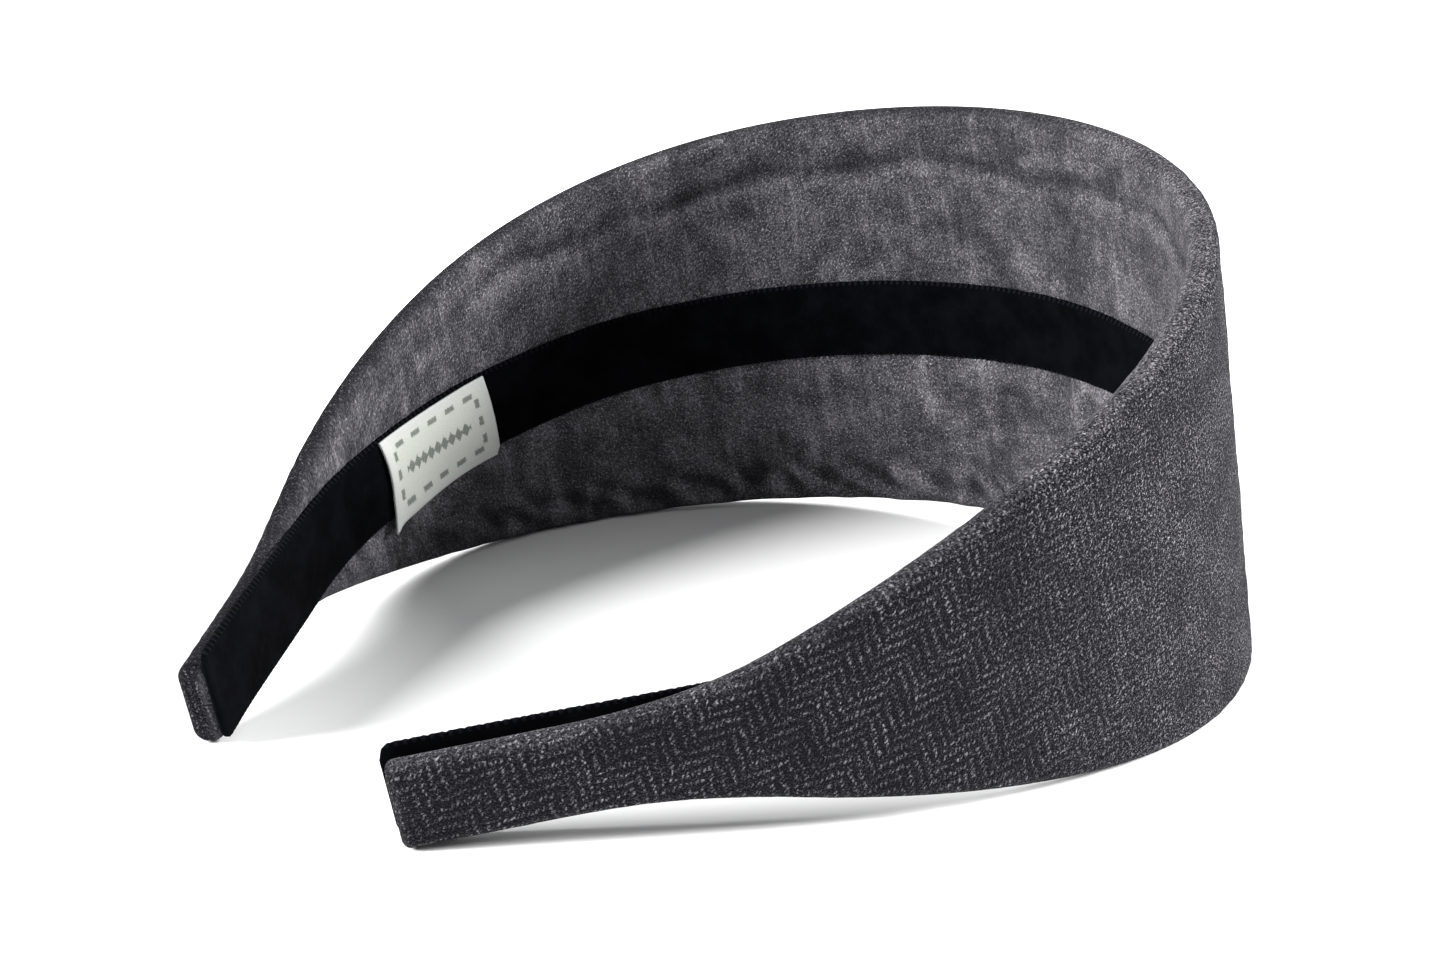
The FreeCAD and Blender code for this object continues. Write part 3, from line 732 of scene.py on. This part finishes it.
def make_ribbon(material):
    end = HALF_LENGTH + RIBBON_PAST_END
    s = np.linspace(-end, end, RIBBON_ROWS)[:, None]
    beads = np.abs(np.sin(s * math.pi / BEAD)) ** 0.7
    past = end - np.abs(s)
    sides = []
    for radius in RIBBON_CORNERS:
        cut = np.clip(1 - past / radius, 0, 1)
        sides.append(RIBBON_WIDTH / 2 - BEAD_HEIGHT * (1 - beads) - radius * (1 - np.sqrt(1 - cut**2)))
    lower, upper = sides
    woven = np.array(WOVEN_COLUMNS)
    middle_columns = np.linspace(-PILE_HALF_SHARE, PILE_HALF_SHARE, PILE_COLUMNS)
    across = np.concatenate([-woven[::-1], middle_columns, woven])[None]
    w = np.where(across < 0, lower, upper) * across
    pile = smooth(0.0, 0.085, 1 - np.abs(across))
    front = 0.34 + 0.10 * beads * (1 - pile) + (RIBBON_THICKNESS - 0.40) * pile
    front = front * (0.55 + 0.45 * smooth(0, 0.5, past))
    front += pile * (0.03 * patchy(s, w, 41, 1.5, 6) + 0.02 * patchy(s, w, 42, 8, 30))
    uv = np.stack(np.broadcast_arrays(s, w), -1)
    s, w = s + 0 * w, w + ribbon_rise(s)
    laid_on = -HALF_THICKNESS - CLEAR
    patches = slab(on_band(s, w, laid_on - front), on_band(s, w, laid_on + 0 * w), uv)
    piece = make_piece("velvet_lining", patches, material)
    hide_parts("velvet_ribbon")
    return piece


# ---------------------------------------------------------------- the woven label
LABEL_GRID = (80, 44)
END_BOW = 1.3  # how far the free end's edge bows out
END_SLANT = 1.7  # and how far its lower corner is drawn back
TAIL = (0.9, 0.35, 0.6)  # of the loose thread corner: outwards, down and off the ribbon
CURL = 0.5  # how far the free end's lower corner stands off


def make_label(material):
    """Sewn flat at its top and crown end; the end towards the tip stands off and curls."""
    rows, columns = LABEL_GRID
    u = np.linspace(-1, 1, rows)[:, None]  # from the tip's end to the crown's
    v = np.linspace(-1, 1, columns)[None]  # from the lower edge to the upper
    along = u * LABEL_LENGTH / 2 + 0 * v
    across = v * LABEL_WIDTH / 2 + 0 * u
    tip_end = 1 - smooth(-1.0, 0.55, u)
    low_side = 1 - smooth(-1.0, -0.2, v)
    tail = np.exp(-(((v + 1) / 0.10) ** 2)) * np.exp(-(((u + 1) / 0.10) ** 2))
    bow = (END_BOW * (1 - v**2) - END_SLANT * (1 - v) / 2) * (1 - smooth(-1.0, -0.2, u))
    round_corner = 0.7 * smooth(0.85, 1.0, u) * (1 - smooth(-1.0, -0.8, v))
    tail_out, tail_down, tail_off = (size * tail for size in TAIL)
    s = LABEL_MIDDLE + along + bow - tail_out - round_corner + 0.5 * (1 - v**2) * smooth(0.6, 1.0, u)
    w = across - LABEL_DROP - tail_down + 0.18 * np.sin(u * 2.4 + 0.6) * low_side
    lift = CURL * tip_end * low_side**1.4 + 0.35 * (1 - smooth(-1.0, -0.8, u)) * (1 - v**2)
    lift = lift + 0.08 * (1 + np.sin(u * 3.0 + v * 1.3)) + tail_off
    under = -HALF_THICKNESS - RIBBON_THICKNESS - 2 * CLEAR - lift
    uv = np.stack([along, across], -1)
    patches = slab(on_band(s, w, under - LABEL_THICKNESS), on_band(s, w, under), uv)
    piece = make_piece("label", patches, material)
    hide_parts("woven_label")


# ---------------------------------------------------------------- stage, lights and camera
FLOOR_REACH = 6.0  # metres
WORLD_STRENGTH = 0.45


def make_floor():
    mesh = bpy.data.meshes.new("floor")
    corners = [(x * FLOOR_REACH, y * FLOOR_REACH, 0) for x, y in ((-1, -1), (1, -1), (1, 1), (-1, 1))]
    mesh.from_pydata(corners, [], [(0, 1, 2, 3)])
    floor = bpy.data.objects.new("floor", mesh)
    bpy.context.scene.collection.objects.link(floor)
    g = Graph("pale_floor")
    g.set(Base_Color=(0.80, 0.80, 0.80, 1), Roughness=0.9, Specular_IOR_Level=0.1)
    mesh.materials.append(g.material)


def soft_lamp(name, towards, strength, spread):
    """A large far-off soft lamp, that lights the floor evenly to its edges."""
    light = bpy.data.lights.new(name, "SUN")
    light.energy = strength
    light.angle = math.radians(spread)
    lamp = bpy.data.objects.new(name, light)
    lamp.location = towards
    lamp.rotation_euler = Vector(towards).to_track_quat("Z", "Y").to_euler()
    bpy.context.scene.collection.objects.link(lamp)


def make_lights():
    soft_lamp("right", (2.08, 1.95, 1.38), 9.2, 17.0)
    soft_lamp("front_left", (-1.30, -2.55, 1.55), 8.4, 22.0)
    world = bpy.data.worlds.new("studio")
    bpy.context.scene.world = world
    world.use_nodes = True
    background = world.node_tree.nodes["Background"]
    background.inputs["Color"].default_value = (0.98, 0.99, 1.0, 1)
    background.inputs["Strength"].default_value = WORLD_STRENGTH


CAMERA_AZIMUTH = math.radians(46.80)
CAMERA_ELEVATION = math.radians(16.22)
CAMERA_ROLL = math.radians(-0.24)
CAMERA_DISTANCE = 347.9
LENS = 57.7
# What the camera looks at, from the crown of the band's middle surface.
LOOK_AT = (-21.1, -47.2, -20.2)


def make_camera():
    camera = bpy.data.objects.new("camera", bpy.data.cameras.new("camera"))
    bpy.context.scene.collection.objects.link(camera)
    back = Vector((math.sin(CAMERA_AZIMUTH) * math.cos(CAMERA_ELEVATION),
                   -math.cos(CAMERA_AZIMUTH) * math.cos(CAMERA_ELEVATION), math.sin(CAMERA_ELEVATION)))
    target = (Vector(LOOK_AT) + Vector((0, SHIFT, LIFT))) * MM
    camera.location = target + back * CAMERA_DISTANCE * MM
    turn = (-back).to_track_quat("-Z", "Y").to_matrix() @ Matrix.Rotation(CAMERA_ROLL, 3, "Z")
    camera.rotation_euler = turn.to_euler()
    camera.data.lens = LENS
    camera.data.sensor_width = 36.0
    camera.data.clip_start = 0.01
    bpy.context.scene.camera = camera


bpy.context.scene.view_settings.view_transform = "Standard"
make_camera()
make_lights()
make_floor()

wadding = make_wadding(wadding_material())
cover = make_cover(wool_material())
lining = make_ribbon(velvet_material())
make_label(label_material())
for node, material in (("band_core", core_material()), ("glue_line", glue_material())):
    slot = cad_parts[node].material_slots[0]
    slot.link = "OBJECT"
    slot.material = material
